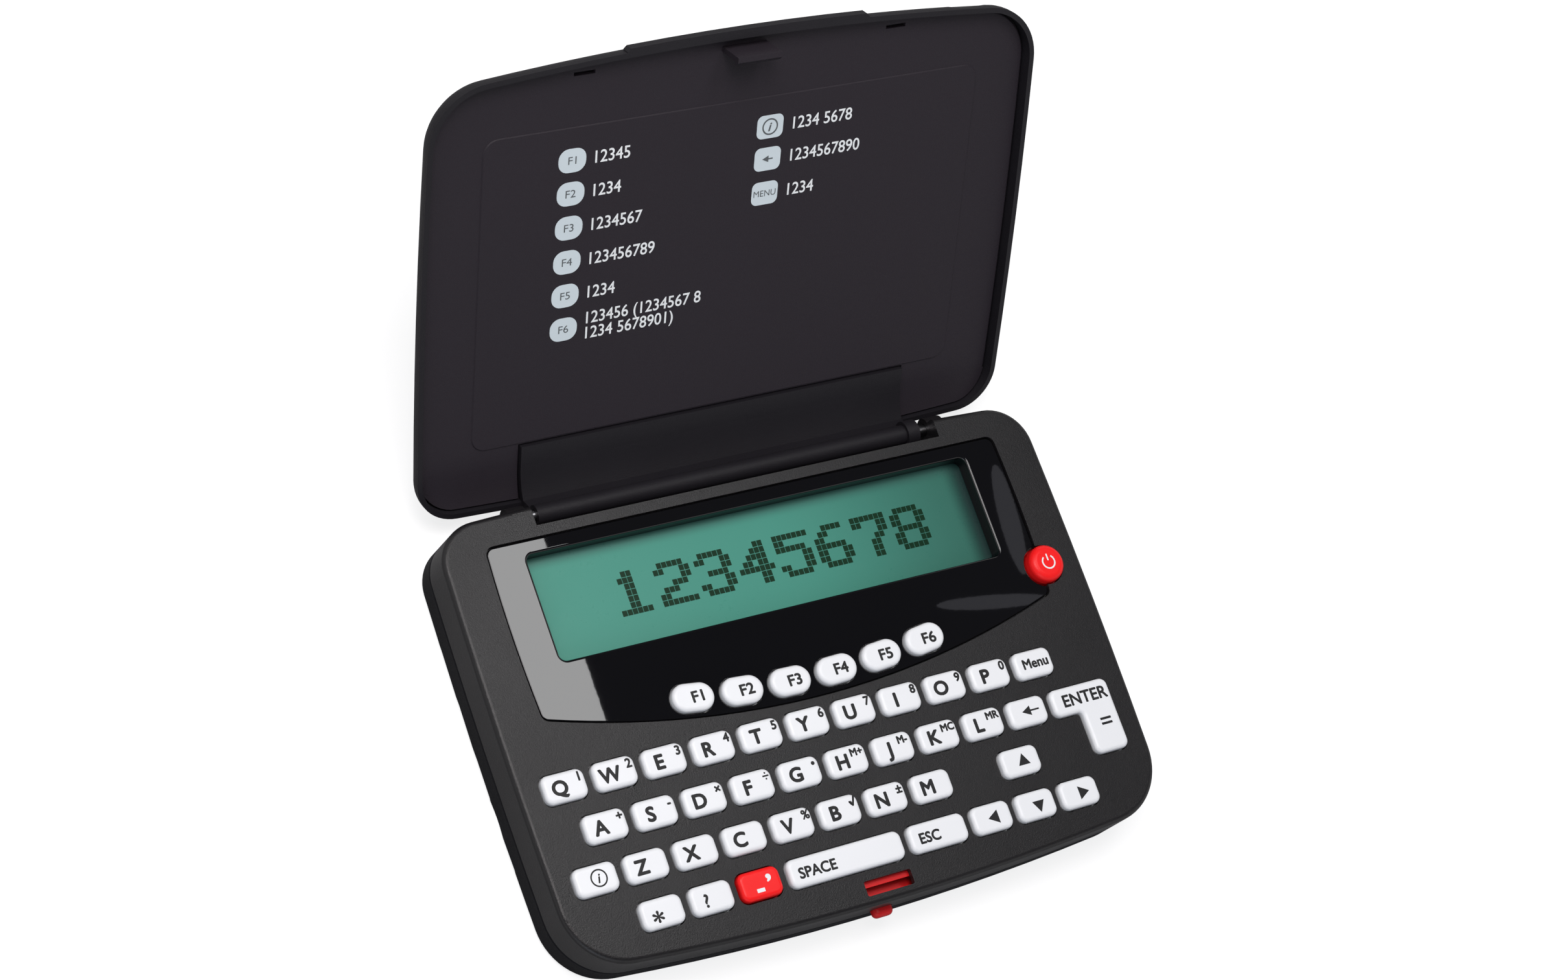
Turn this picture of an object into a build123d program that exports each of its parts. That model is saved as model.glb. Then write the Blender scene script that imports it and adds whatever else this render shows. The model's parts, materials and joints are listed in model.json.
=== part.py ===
from build123d import *
import math
import os

os.makedirs("parts", exist_ok=True)

# Pocket electronic crossword solver: a clamshell with a keyboard and a display in
# its base and a lid that opens on two stub pins. Millimetres, +Z up, origin in the
# middle of the underside. The lid is built shut and then turned to its open rest.

# Outline of the case, seen from above: four bowed sides and four round corners
SIDE_HALF_MID = 63.9
SIDE_HALF_END = 63.2
FRONT_MID_Y = -43.8
FRONT_END_Y = -40.4
BACK_MID_Y = 44.05
BACK_END_Y = 42.6
FRONT_CORNER_R = 12.5
BACK_CORNER_R = 8.5

# Heights and walls of the base
BODY_T = 13.0
SEAM_Z = 5.0
WALL = 1.8
TOP_T = 1.8
FLOOR_T = 1.8
TOP_EDGE_R = 1.0
BOTTOM_EDGE_R = 0.8
SEAM_CHAMFER = 0.35
LIP_T = 0.8
LIP_H = 1.0
LIP_GAP = 0.1

# Keys
KEY_PITCH = 10.0
ROW_PITCH = 8.68
FIRST_KEY_X = -55.2
FIRST_ROW_Y = -8.35
CAP_W = 8.4
CAP_D = 5.4
CAP_R = 1.5
CAP_RISE = 1.2
CAP_EDGE_R = 0.8
KEY_GAP = 0.28
FLANGE_LIP = 0.6
FLANGE_T = 0.9
FLANGE_GAP = 0.3
SPACE_W = 24.2
ESC_W = 12.4
ENTER_BAR_W = 13.3
ENTER_LEG_W = 7.5
ENTER_INNER_R = 0.8

# Function keys, on a shallow arc along the lower edge of the display surround
FN_W = 8.4
FN_D = 5.4
FN_PITCH = 9.97
FN_ARC_R = 200.0
FN_MID_Y = 0.05
FN_RISE = 1.0
FN_MID_X = -0.45
FN_COUNT = 6

# Power button
POWER_X = 55.7
POWER_Y = 9.95
POWER_R = 3.7
POWER_RISE = 1.75
POWER_DOME_R = 1.3
POWER_GAP = 0.3

# Display surround, window and module
BEZEL_HALF_W = 54.5
BEZEL_TOP_Y = 37.2
BEZEL_SIDE_Y = 4.4
BEZEL_SAG_Y = -3.8
BEZEL_SIDE_BOW = 0.5
BEZEL_CORNER_R = 1.5
BEZEL_T = 1.0
BEZEL_SINK = 0.3
BEZEL_GAP = 0.25
BEZEL_FLOOR_T = 0.9
BEZEL_SEAT = 1.0
BEZEL_EDGE_R = 0.25
BEZEL_POWER_R = 4.35
WINDOW_W = 94.8
WINDOW_D = 20.6
WINDOW_Y = 24.25
WINDOW_R = 1.4
WINDOW_EDGE_R = 0.5
SKIRT_T = 1.0
SKIRT_GAP = 0.2
LCD_OVER = 2.0
LCD_GLASS_T = 1.4
LCD_FRAME_T = 0.9
LCD_GAP = 0.1
LCD_CHAMFER = 0.3

# Board, rubber mat and power supply
BOARD_Z = 5.6
BOARD_T = 1.6
CHIP_SIDE = 12.0
CHIP_T = 1.2
CHIP_Y = -12.0
CRYSTAL_W = 6.0
CRYSTAL_D = 2.5
CRYSTAL_T = 1.5
CRYSTAL_GAP = 8.0
CRYSTAL_Y = -10.75
MAT_T = 0.8
DOME_R = 2.2
DOME_TOP_R = 1.6
DOME_GAP = 0.1
INSIDE_GAP = 0.9
CELL_R = 10.0
CELL_T = 3.2
CELL_X = 11.2
CELL_Y = 14.0
BAY_W = 47.0
BAY_D = 23.0
BAY_WALL = 1.6
DOOR_LEDGE = 2.0
DOOR_GAP = 0.25
DOOR_T = 1.4
DOOR_EAR_W = 9.0
DOOR_EAR_D = 5.6
DOOR_SCREW_HEAD_T = 0.6
DOOR_SCREW_SINK = 0.1
DOOR_TAB_W = 5.0
DOOR_TAB_T = 0.7
DOOR_TAB_OUT = 1.0
DOOR_TAB_X = 15.0
DOOR_TAB_GAP = 0.15
GRIP_COUNT = 5
GRIP_PITCH = 1.6
GRIP_GROOVE_W = 0.7
GRIP_GROOVE_T = 0.35
GRIP_HALF_L = 9.0
GRIP_IN = 3.0
EAR_PAD_T = 1.5
CONTACT_T = 0.3
CONTACT_W = 3.0
CONTACT_REACH = 7.0

# Screws and their posts
SCREW_R = 1.0
SCREW_HEAD_R = 2.0
SCREW_HEAD_T = 1.2
SCREW_SLOT_W = 0.6
SCREW_SLOT_T = 0.5
SCREW_SINK = 0.7
POST_R = 2.9
POST_BITE = 4.2
THREAD_BITE = 0.05
HEAD_GAP = 0.25
FRONT_POST = (54.5, -33.2)
BACK_POST = (57.4, 34.0)
RIB_T = 1.2

# Hinge
HINGE_Y = 42.65
HINGE_Z = 8.4
OPEN_DEG = 130.85
NOTCH_HALF_W = 43.5
NOTCH_FRONT_Y = 39.5
NOTCH_WALL = 1.6
PIN_WALL = 3.6
PIN_BOSS_R = 2.3
PIN_R = 1.2
PIN_RUN_GAP = 0.05
PIN_BITE = 0.02
PIN_IN_LID = 6.0
PIN_IN_BASE = 3.0
KNUCKLE_HALF_W = 41.2
BARREL_R = 1.95
EAR_R = 2.6
EAR_W = 2.6
WEB_T = 1.4

# Lid, measured while it is shut
LID_GAP = 0.3
LID_T = 5.7
LID_EDGE_R = 5.0
LID_SIDE_IN = 0.9
LID_FRONT_OUT = 0.6
LID_FRONT_CORNER_R = 12.0
LID_WALL = 1.4
LID_LIP = 1.0
LID_SHELF = 3.4
RECESS = 2.0
PANEL_T = 1.0
PANEL_GAP = 0.35
PANEL_EDGE_R = 0.4
PLATEAU_W = 102.4
PLATEAU_FRONT_Y = -30.5
PLATEAU_BACK_Y = 31.1
PLATEAU_T = 0.2
PLATEAU_R = 3.0
SWEEP_START_Y = 35.6
SWEEP_DROP = 1.3
KNUCKLE_FRONT_Y = 31.6
KNUCKLE_PROUD = 0.8
KNUCKLE_SLIT = 0.3
KNUCKLE_SWEEP = 1.6
THUMB_HALF_W = 24.8
THUMB_OUT = 0.75
THUMB_T = 1.7
THUMB_IN = 4.0
SNAP_W = 4.2
SNAP_D = 0.7
SNAP_X = 32.0
SNAP_IN = 1.4

# Latch
SLOT_W = 10.0
SLOT_FRONT_Y = -41.9
SLOT_BACK_Y = -39.05
SLOT_R = 0.4
SLOT_SKIN = 1.1
HOOK_HALF_W = 4.5
HOOK_FRONT_Y = -41.5
HOOK_T = 1.0
HOOK_BARB = 0.75
HOOK_BARB_T = 1.1
HOOK_REACH = 5.7
LATCH_TRAVEL = 1.1
LATCH_HALF_W = 7.5
LATCH_LEDGE = 0.5
LATCH_RISER_T = 0.7
LATCH_GAP = 0.1
LATCH_ROOM = 0.2
LATCH_BED_Z = 6.2
LATCH_FRONT_GAP = 0.15
NUB_X = -0.25
NUB_W = 4.3
NUB_T = 2.4
NUB_Z = 7.0
NUB_OUT = 1.6
NUB_GAP = 0.2
NUB_EDGE_R = 1.0
SPRING_LEG_L = 9.0
SPRING_LEG_T = 0.8
SPRING_LEG_H = 1.6
GUIDE_T = 1.2

# Finger scallop in the left wall of the lower shell
SCALLOP_R = 22.0
SCALLOP_DEPTH = 0.4
SCALLOP_Y = -8.7
SCALLOP_H = 3.4

# Levels that follow from the sizes above
UNDER_TOP = BODY_T - TOP_T
BEZEL_TOP = BODY_T - BEZEL_SINK
BEZEL_BED = BEZEL_TOP - BEZEL_T
BEZEL_UNDER = BEZEL_BED - BEZEL_FLOOR_T
BOARD_TOP = BOARD_Z + BOARD_T
LCD_TOP = BOARD_TOP + LCD_FRAME_T + LCD_GLASS_T
MAT_TOP = BOARD_TOP + MAT_T
RIM_Z = BODY_T + LID_GAP
PANEL_Z = RIM_Z + RECESS
PANEL_BACK = PANEL_Z + PANEL_T
LID_TOP = RIM_Z + LID_T
BAY_FLOOR = DOOR_T + LCD_GAP
CELL_LOW = DOOR_T + CONTACT_T


def case_outline(side_in=0.0, front_out=0.0, front_corner_r=FRONT_CORNER_R):
    end_x = SIDE_HALF_END - side_in
    mid_x = SIDE_HALF_MID - side_in
    front_end_y = FRONT_END_Y - front_out
    front_left = (-end_x, front_end_y)
    front_right = (end_x, front_end_y)
    back_left = (-end_x, BACK_END_Y)
    back_right = (end_x, BACK_END_Y)
    front = ThreePointArc(front_left, (0, FRONT_MID_Y - front_out), front_right)
    right = ThreePointArc(front_right, (mid_x, 0), back_right)
    back = ThreePointArc(back_right, (0, BACK_MID_Y), back_left)
    left = ThreePointArc(back_left, (-mid_x, 0), front_left)
    sketch = Sketch() + Face(Wire([front, right, back, left]))
    corners = sketch.vertices().group_by(Axis.Y)
    sketch = fillet(corners[0], front_corner_r)
    corners = sketch.vertices().sort_by(Axis.Y)
    sharp = [v for v in corners if abs(v.Y - BACK_END_Y) < 0.01]
    return fillet(sharp, BACK_CORNER_R)


OUTLINE = case_outline()
LID_OUTLINE = case_outline(LID_SIDE_IN, LID_FRONT_OUT, LID_FRONT_CORNER_R)


def inset(distance):
    return offset(OUTLINE, amount=-distance)


def lid_inset(distance):
    return offset(LID_OUTLINE, amount=-distance)


def prism(sketch, low, high):
    return Pos(0, 0, low) * extrude(sketch, high - low)


def block(x0, x1, y0, y1, z0, z1):
    return Pos((x0 + x1) / 2, (y0 + y1) / 2, (z0 + z1) / 2) * Box(x1 - x0, y1 - y0, z1 - z0)


def round_bar(radius, x0, x1, y, z):
    return Pos((x0 + x1) / 2, y, z) * Rot(0, 90, 0) * Cylinder(radius, x1 - x0)


def post(x, y, radius, low, high):
    return Pos(x, y, (low + high) / 2) * Cylinder(radius, high - low)


def along_x(points_and_edges, half_w):
    face = Face(Wire(points_and_edges))
    solid = extrude(face, half_w, dir=(1, 0, 0), both=True)
    return solid


def top_edges(solid):
    return solid.faces().sort_by(Axis.Z)[-1].edges()


def bottom_edges(solid):
    return solid.faces().sort_by(Axis.Z)[0].edges()


# Where each key sits and the plan shape of its cap
def enter_plan():
    right = ENTER_BAR_W / 2
    leg = Pos(right - ENTER_LEG_W / 2, -ROW_PITCH / 2) * Rectangle(ENTER_LEG_W, ROW_PITCH + CAP_D)
    plan = Rectangle(ENTER_BAR_W, CAP_D) + leg
    inner_x = right - ENTER_LEG_W
    inner_y = -CAP_D / 2
    inner = [v for v in plan.vertices() if abs(v.X - inner_x) < 0.01 and abs(v.Y - inner_y) < 0.01]
    plan = fillet(inner, ENTER_INNER_R)
    outer = [v for v in plan.vertices() if abs(abs(v.X) - right) < 0.01]
    low_y = -ROW_PITCH - CAP_D / 2
    outer += [v for v in plan.vertices() if abs(v.X - inner_x) < 0.01 and abs(v.Y - low_y) < 0.01]
    return fillet(outer, CAP_R)


def row_y(row):
    return FIRST_ROW_Y - row * ROW_PITCH


def column_x(column):
    return FIRST_KEY_X + column * KEY_PITCH


def letter_plan(width=CAP_W):
    return RectangleRounded(width, CAP_D, CAP_R)


def function_place(index):
    x = FN_MID_X + (index - (FN_COUNT - 1) / 2) * FN_PITCH
    turn = math.asin((x - FN_MID_X) / FN_ARC_R)
    y = FN_MID_Y + FN_ARC_R * (1 - math.cos(turn))
    return x, y, math.degrees(turn)


KEY_ROWS = [
    (0, 0.0, ["q", "w", "e", "r", "t", "y", "u", "i", "o", "p", "menu"]),
    (1, 0.5, ["a", "s", "d", "f", "g", "h", "j", "k", "l", "back"]),
    (2, 0.0, ["info", "z", "x", "c", "v", "b", "n", "m"]),
    (3, 1.0, ["star", "question", "hyphen"]),
]
KEY_SINGLES = [
    ("up", 8.98, 2, CAP_W),
    ("space", 4.8, 3, SPACE_W),
    ("escape", 6.78, 3, ESC_W),
    ("left", 7.975, 3, CAP_W),
    ("down", 8.965, 3, CAP_W),
    ("right", 9.955, 3, CAP_W),
]
ENTER_COLUMN = 10.735


def key_table():
    table = []
    for row, start, names in KEY_ROWS:
        for i, name in enumerate(names):
            place = Pos(column_x(start + i), row_y(row))
            table.append(("key_" + name, place * letter_plan(), UNDER_TOP, CAP_RISE))
    for name, column, row, width in KEY_SINGLES:
        place = Pos(column_x(column), row_y(row))
        table.append(("key_" + name, place * letter_plan(width), UNDER_TOP, CAP_RISE))
    place = Pos(column_x(ENTER_COLUMN), row_y(1))
    table.append(("key_enter", place * enter_plan(), UNDER_TOP, CAP_RISE))
    for i in range(FN_COUNT):
        x, y, turn = function_place(i)
        plan = Pos(x, y) * Rot(0, 0, turn) * SlotOverall(FN_W, FN_D)
        table.append(("key_f%d" % (i + 1), plan, BEZEL_UNDER, FN_RISE))
    return table


KEYS = key_table()
POWER_PLAN = Pos(POWER_X, POWER_Y) * Circle(POWER_R)


def key_solid(plan, under, rise, edge_r):
    flange_top = under - FLANGE_GAP
    flange = prism(offset(plan, amount=FLANGE_LIP), flange_top - FLANGE_T, flange_top)
    cap = prism(plan, flange_top, BODY_T + rise)
    cap = fillet(top_edges(cap), edge_r)
    return flange + cap


def dome_solid(x, y, under):
    top = under - FLANGE_GAP - FLANGE_T - DOME_GAP
    height = top - MAT_TOP
    return Pos(x, y, MAT_TOP + height / 2) * Cone(DOME_R, DOME_TOP_R, height)


# Display surround: bowed sides, an arc below and a bite round the power button
def bezel_plan(grow=0.0):
    half_w = BEZEL_HALF_W + grow
    top_left = (-half_w, BEZEL_TOP_Y + grow)
    top_right = (half_w, BEZEL_TOP_Y + grow)
    low_left = (-half_w, BEZEL_SIDE_Y - grow)
    low_right = (half_w, BEZEL_SIDE_Y - grow)
    side_mid_y = (BEZEL_TOP_Y + BEZEL_SIDE_Y) / 2
    bow = half_w + BEZEL_SIDE_BOW
    low = ThreePointArc(low_left, (0, BEZEL_SAG_Y - grow), low_right)
    right = ThreePointArc(low_right, (bow, side_mid_y), top_right)
    top = Line(top_right, top_left)
    left = ThreePointArc(top_left, (-bow, side_mid_y), low_left)
    plan = Sketch() + Face(Wire([low, right, top, left]))
    return fillet(plan.vertices(), BEZEL_CORNER_R + grow)


def window_plan(grow=0.0):
    radius = WINDOW_R + grow
    return Pos(0, WINDOW_Y) * RectangleRounded(WINDOW_W + 2 * grow, WINDOW_D + 2 * grow, radius)


def function_keys():
    return [k for k in KEYS if k[2] == BEZEL_UNDER]


def window_rim(plate):
    half_w = WINDOW_W / 2 + WINDOW_EDGE_R
    half_d = WINDOW_D / 2 + WINDOW_EDGE_R
    rim = top_edges(plate)
    return [e for e in rim if abs(e.center().X) < half_w and abs(e.center().Y - WINDOW_Y) < half_d]


def bezel_solid():
    plate = prism(bezel_plan(), BEZEL_BED, BEZEL_TOP)
    plate = fillet(top_edges(plate), BEZEL_EDGE_R)
    skirt_low = LCD_TOP + LCD_GAP
    plate += prism(window_plan(SKIRT_T), skirt_low, BEZEL_BED)
    plate -= prism(window_plan(), skirt_low, BEZEL_TOP)
    plate = fillet(window_rim(plate), WINDOW_EDGE_R)
    plate -= post(POWER_X, POWER_Y, BEZEL_POWER_R, BEZEL_BED, BEZEL_TOP)
    for _, plan, _, _ in function_keys():
        plate -= prism(offset(plan, amount=KEY_GAP), BEZEL_BED, BEZEL_TOP)
    return plate


# Hinge notch: the walls that close it off and the space it takes
def notch_walls(low, high):
    out = NOTCH_HALF_W + PIN_WALL
    walls = block(-out, out, NOTCH_FRONT_Y - NOTCH_WALL, BACK_MID_Y + 1, low, high)
    return walls & prism(OUTLINE, low, high)


def notch_space():
    return block(-NOTCH_HALF_W, NOTCH_HALF_W, NOTCH_FRONT_Y, BACK_MID_Y + 2, -1, BODY_T + 1)


def post_places():
    fx, fy = FRONT_POST
    bx, by = BACK_POST
    return [(-fx, fy), (fx, fy), (-bx, by), (bx, by)]


def nub_plan(grow=0.0):
    return SlotOverall(NUB_W + 2 * grow, NUB_T + 2 * grow)


def nub_bar(grow, y0, y1):
    bar = extrude(nub_plan(grow), y1 - y0)
    return Pos(NUB_X, y1, NUB_Z) * Rot(90, 0, 0) * bar


def upper_case():
    shell = prism(OUTLINE, SEAM_Z, BODY_T)
    shell = fillet(top_edges(shell), TOP_EDGE_R)
    shell = chamfer(bottom_edges(shell), SEAM_CHAMFER)
    shell -= prism(inset(WALL), SEAM_Z, UNDER_TOP)
    shell += notch_walls(SEAM_Z, UNDER_TOP)
    shell += prism(bezel_plan(BEZEL_SEAT), BEZEL_UNDER, UNDER_TOP)
    for x, y in post_places():
        shell += post(x, y, POST_R, SEAM_Z, UNDER_TOP) & prism(OUTLINE, SEAM_Z, UNDER_TOP)
    shell -= prism(bezel_plan(BEZEL_GAP), BEZEL_BED, BODY_T + 1)
    shell -= prism(window_plan(SKIRT_T + SKIRT_GAP), BEZEL_UNDER, BEZEL_BED)
    shell -= post(POWER_X, POWER_Y, POWER_R + POWER_GAP, BEZEL_UNDER, BODY_T)
    for _, plan, _, _ in KEYS:
        shell -= prism(offset(plan, amount=KEY_GAP), BEZEL_UNDER, BODY_T)
    slot_mid = (SLOT_FRONT_Y + SLOT_BACK_Y) / 2
    slot_plan = Pos(0, slot_mid) * RectangleRounded(SLOT_W, SLOT_BACK_Y - SLOT_FRONT_Y, SLOT_R)
    shell -= prism(slot_plan, UNDER_TOP, BODY_T)
    riser_back = latch_riser_y() + LATCH_RISER_T + LATCH_TRAVEL
    shell -= block(-LATCH_HALF_W - LATCH_ROOM, LATCH_HALF_W + LATCH_ROOM, SLOT_FRONT_Y,
                   riser_back + LATCH_ROOM, UNDER_TOP, BODY_T - SLOT_SKIN)
    shell -= nub_bar(NUB_GAP, FRONT_MID_Y - 1, FRONT_MID_Y + WALL + 1)
    shell -= notch_space()
    for side in (-1, 1):
        x0, x1 = sorted((side * NOTCH_HALF_W, side * (NOTCH_HALF_W + PIN_WALL)))
        shell += round_bar(PIN_BOSS_R, x0, x1, HINGE_Y, HINGE_Z)
        reach = NOTCH_HALF_W + PIN_IN_BASE + LATCH_ROOM
        x0, x1 = sorted((side * (NOTCH_HALF_W - 1), side * reach))
        shell -= round_bar(PIN_R + PIN_RUN_GAP, x0, x1, HINGE_Y, HINGE_Z)
    for x, y in post_places():
        shell -= post(x, y, SCREW_R - THREAD_BITE, SEAM_Z, SEAM_Z + POST_BITE)
    return shell


# Bay for the two coin cells, in the floor behind the middle
def bay_block(grow, low, high):
    half_w = BAY_W / 2 + grow
    half_d = BAY_D / 2 + grow
    return block(-half_w, half_w, CELL_Y - half_d, CELL_Y + half_d, low, high)


def door_ear(grow, low, high):
    y0 = CELL_Y + BAY_D / 2 + DOOR_LEDGE
    half_w = DOOR_EAR_W / 2 + grow
    return block(-half_w, half_w, y0 - 1, y0 + DOOR_EAR_D + grow, low, high)


def door_tabs(grow):
    front_y = CELL_Y - BAY_D / 2 - DOOR_LEDGE
    tabs = Part()
    for side in (-1, 1):
        x = side * DOOR_TAB_X
        half_w = DOOR_TAB_W / 2 + grow
        tabs += block(x - half_w, x + half_w, front_y - DOOR_TAB_OUT - grow, front_y + DOOR_LEDGE,
                      DOOR_T - DOOR_TAB_T - grow, DOOR_T + grow)
    return tabs


def door_screw_y():
    return CELL_Y + BAY_D / 2 + DOOR_LEDGE + DOOR_EAR_D / 2


def rib_places():
    return [(-50, 6, 14), (50, 6, 14), (-30, -22, 10), (30, -22, 10), (0, -25, 8), (-50, -22, 10), (50, -22, 10)]


def lower_case():
    shell = prism(OUTLINE, 0, SEAM_Z)
    shell = fillet(bottom_edges(shell), BOTTOM_EDGE_R)
    shell = chamfer(top_edges(shell), SEAM_CHAMFER)
    shell -= prism(inset(WALL + LIP_GAP + LIP_T), FLOOR_T, SEAM_Z)
    lip = prism(inset(WALL + LIP_GAP), SEAM_Z - LIP_H, SEAM_Z + LIP_H)
    lip -= prism(inset(WALL + LIP_GAP + LIP_T), SEAM_Z - LIP_H, SEAM_Z + LIP_H)
    clear_x = NOTCH_HALF_W + PIN_WALL + LIP_GAP
    lip -= block(-clear_x, clear_x, NOTCH_FRONT_Y - NOTCH_WALL - LIP_GAP, BACK_MID_Y + 1, SEAM_Z, BODY_T)
    for x, y in post_places():
        lip -= post(x, y, POST_R + LIP_GAP, SEAM_Z, BODY_T)
    lip -= block(-LATCH_HALF_W - 1, LATCH_HALF_W + 1, FRONT_MID_Y, SLOT_BACK_Y, SEAM_Z, BODY_T)
    shell += lip
    shell += notch_walls(0, SEAM_Z)
    for x, y in post_places():
        shell += post(x, y, POST_R, 0, SEAM_Z) & prism(inset(BOTTOM_EDGE_R), 0, SEAM_Z)
    rib_top = BOARD_Z
    shell += bay_block(DOOR_LEDGE + BAY_WALL, 0, rib_top)
    shell -= bay_block(0, BAY_FLOOR, rib_top)
    shell -= bay_block(DOOR_LEDGE, -1, BAY_FLOOR)
    shell += post(0, door_screw_y(), POST_R, BAY_FLOOR, rib_top)
    shell += door_ear(BAY_WALL, 0, BAY_FLOOR + EAR_PAD_T) - bay_block(DOOR_LEDGE, -1, rib_top)
    shell -= door_ear(0, -1, BAY_FLOOR)
    shell -= door_tabs(DOOR_TAB_GAP)
    for x, y, length in rib_places():
        shell += block(x - RIB_T / 2, x + RIB_T / 2, y - length / 2, y + length / 2, FLOOR_T, rib_top)
    guide_x = LATCH_HALF_W + LATCH_ROOM
    back_y = latch_riser_y() + LATCH_RISER_T
    for side in (-1, 1):
        x0, x1 = sorted((side * (guide_x - 4 * GUIDE_T), side * (guide_x - 3 * GUIDE_T)))
        shell += block(x0, x1, FRONT_MID_Y + WALL + 1, back_y, FLOOR_T, LATCH_BED_Z - LATCH_GAP)
    for x, y in post_places():
        shell -= post(x, y, SCREW_HEAD_R + HEAD_GAP, -1, SCREW_SINK + SCREW_HEAD_T)
        shell -= post(x, y, SCREW_R + HEAD_GAP, 0, SEAM_Z)
    shell -= post(0, door_screw_y(), SCREW_R - THREAD_BITE, BAY_FLOOR, rib_top)
    shell -= notch_space()
    scallop_x = -SIDE_HALF_MID - SCALLOP_R + SCALLOP_DEPTH
    shell -= post(scallop_x, SCALLOP_Y, SCALLOP_R, -1, SCALLOP_H)
    return shell


def battery_door():
    grow = DOOR_LEDGE - DOOR_GAP
    door = bay_block(grow, 0, DOOR_T)
    door += door_ear(-DOOR_GAP, 0, DOOR_T)
    door += door_tabs(0)
    y = door_screw_y()
    door -= post(0, y, SCREW_R + HEAD_GAP, -1, DOOR_T)
    door -= post(0, y, SCREW_HEAD_R + HEAD_GAP, -1, DOOR_SCREW_SINK + DOOR_SCREW_HEAD_T)
    for i in range(GRIP_COUNT):
        y = CELL_Y - BAY_D / 2 + GRIP_IN + GRIP_PITCH * i
        door -= block(-GRIP_HALF_L, GRIP_HALF_L, y, y + GRIP_GROOVE_W, -1, GRIP_GROOVE_T)
    return door


def screw(x, y, head_low, head_t, tip):
    body = post(x, y, SCREW_HEAD_R, head_low, head_low + head_t)
    body += post(x, y, SCREW_R, head_low + head_t, tip)
    slot_high = head_low + SCREW_SLOT_T
    reach = SCREW_HEAD_R * 0.7
    half = SCREW_SLOT_W / 2
    body -= block(x - reach, x + reach, y - half, y + half, head_low - 1, slot_high)
    body -= block(x - half, x + half, y - reach, y + reach, head_low - 1, slot_high)
    return body


def case_screws():
    tip = SEAM_Z + POST_BITE - LATCH_ROOM
    screws = [screw(x, y, SCREW_SINK, SCREW_HEAD_T, tip) for x, y in post_places()]
    tip = BOARD_Z - LATCH_GAP
    screws.append(screw(0, door_screw_y(), DOOR_SCREW_SINK, DOOR_SCREW_HEAD_T, tip))
    return screws


def battery_cells():
    cells = []
    for side in (-1, 1):
        cell = post(side * CELL_X, CELL_Y, CELL_R, CELL_LOW, CELL_LOW + CELL_T)
        cell = fillet(cell.edges().filter_by(GeomType.CIRCLE), 0.4)
        cells.append(cell)
    return cells


def battery_contacts():
    cell_top = CELL_LOW + CELL_T
    half = CONTACT_W / 2
    leaves = []
    for side in (-1, 1):
        x_in = side * CELL_X
        x_out = side * (CELL_X + CONTACT_REACH)
        x0, x1 = sorted((x_in, x_out))
        leaf = block(x0, x1, CELL_Y - half, CELL_Y + half, cell_top, cell_top + CONTACT_T)
        x2, x3 = sorted((x_out, x_out - side * CONTACT_T))
        leaf += block(x2, x3, CELL_Y - half, CELL_Y + half, cell_top, BOARD_Z)
        leaves.append(leaf)
    leaves.append(block(-CELL_X, CELL_X, CELL_Y - half, CELL_Y + half, DOOR_T, CELL_LOW))
    return leaves


def board_plan():
    wide = SIDE_HALF_END - WALL - INSIDE_GAP
    front_x, front_y = FRONT_POST
    back_x, back_y = BACK_POST
    narrow = front_x - POST_R - INSIDE_GAP / 2
    top_w = back_x - POST_R - INSIDE_GAP / 2
    cut_y = front_y + POST_R + INSIDE_GAP / 2
    top_y = back_y - POST_R - INSIDE_GAP / 2
    low_y = latch_riser_y() + LATCH_RISER_T + LATCH_TRAVEL + LATCH_ROOM
    high_y = NOTCH_FRONT_Y - NOTCH_WALL - INSIDE_GAP / 2
    main = Pos(0, (cut_y + top_y) / 2) * Rectangle(2 * wide, top_y - cut_y)
    front = Pos(0, (low_y + cut_y) / 2) * Rectangle(2 * narrow, cut_y - low_y)
    back = Pos(0, (top_y + high_y) / 2) * Rectangle(2 * top_w, high_y - top_y)
    return main + front + back


def circuit_board():
    board = prism(board_plan(), BOARD_Z, BOARD_TOP)
    half = CHIP_SIDE / 2
    board += block(-half, half, CHIP_Y - half, CHIP_Y + half, BOARD_Z - CHIP_T, BOARD_Z)
    x = -half - CRYSTAL_GAP
    y = CRYSTAL_Y - CRYSTAL_D / 2
    return board + block(x - CRYSTAL_W, x, y, y + CRYSTAL_D, BOARD_Z - CRYSTAL_T, BOARD_Z)


def mat_plan():
    low_y = latch_riser_y() + LATCH_RISER_T + LATCH_TRAVEL + LATCH_ROOM
    front_x, front_y = FRONT_POST
    cut_y = front_y + POST_R + INSIDE_GAP / 2
    wide = SIDE_HALF_END - WALL - INSIDE_GAP
    narrow = front_x - POST_R - INSIDE_GAP / 2
    high_y = FN_MID_Y + FN_D
    tab_x = lcd_half_w() + INSIDE_GAP
    tab_y = POWER_Y + POWER_R + FLANGE_LIP
    main = Pos(0, (cut_y + high_y) / 2) * Rectangle(2 * wide, high_y - cut_y)
    front = Pos(0, (low_y + cut_y) / 2) * Rectangle(2 * narrow, cut_y - low_y)
    tab = Pos((tab_x + wide) / 2, (high_y + tab_y) / 2) * Rectangle(wide - tab_x, tab_y - high_y)
    return main + front + tab


def dome_places():
    places = []
    for name, plan, under, _ in KEYS:
        centre = plan.bounding_box().center()
        x, y = centre.X, centre.Y
        if name == "key_enter":
            x = column_x(ENTER_COLUMN) + ENTER_BAR_W / 2 - ENTER_LEG_W / 2
            y = row_y(1) - ROW_PITCH / 2
        if name == "key_space":
            places += [(x - SPACE_W / 3, y, under), (x + SPACE_W / 3, y, under)]
        places.append((x, y, under))
    places.append((POWER_X, POWER_Y, BEZEL_UNDER))
    return places


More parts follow.
